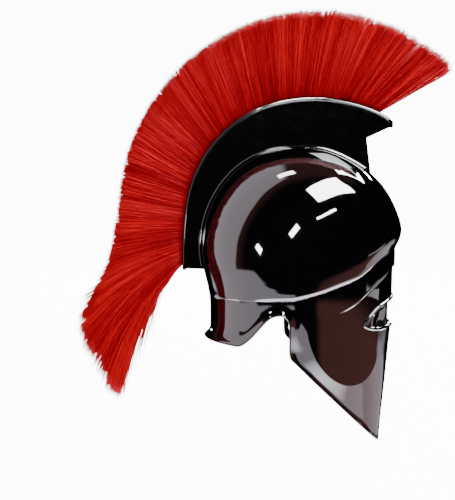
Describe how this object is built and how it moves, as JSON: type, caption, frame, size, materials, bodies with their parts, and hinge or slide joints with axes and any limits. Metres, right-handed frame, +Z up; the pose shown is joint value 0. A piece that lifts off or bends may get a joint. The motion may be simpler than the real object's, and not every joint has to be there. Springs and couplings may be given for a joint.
{
  "type": "corinthian helmet",
  "caption": "Closed sheet steel helmet with brow ridge, eye openings, nose guard, pointed cheek guards, flared neck guard and a tall crest box that carries a hair plume.",
  "frame": {"origin": "inside of the bowl at its crown, where the top of the head meets it", "axes": "+X to the front of the helmet, +Y to the wearer's left, +Z up through the crown"},
  "size_m": [0.4396, 0.1864, 0.5211],
  "materials": {
    "black_steel": "mirror gloss black over polished sheet steel",
    "red_hair": "dyed horsehair, soft sheen"
  },
  "bodies": {
    "root": {"helmet_shell": "black_steel", "nose_guard": "black_steel", "crest_box": "black_steel", "crest_lip": "black_steel", "plume": "red_hair"}
  },
  "joints": []
}
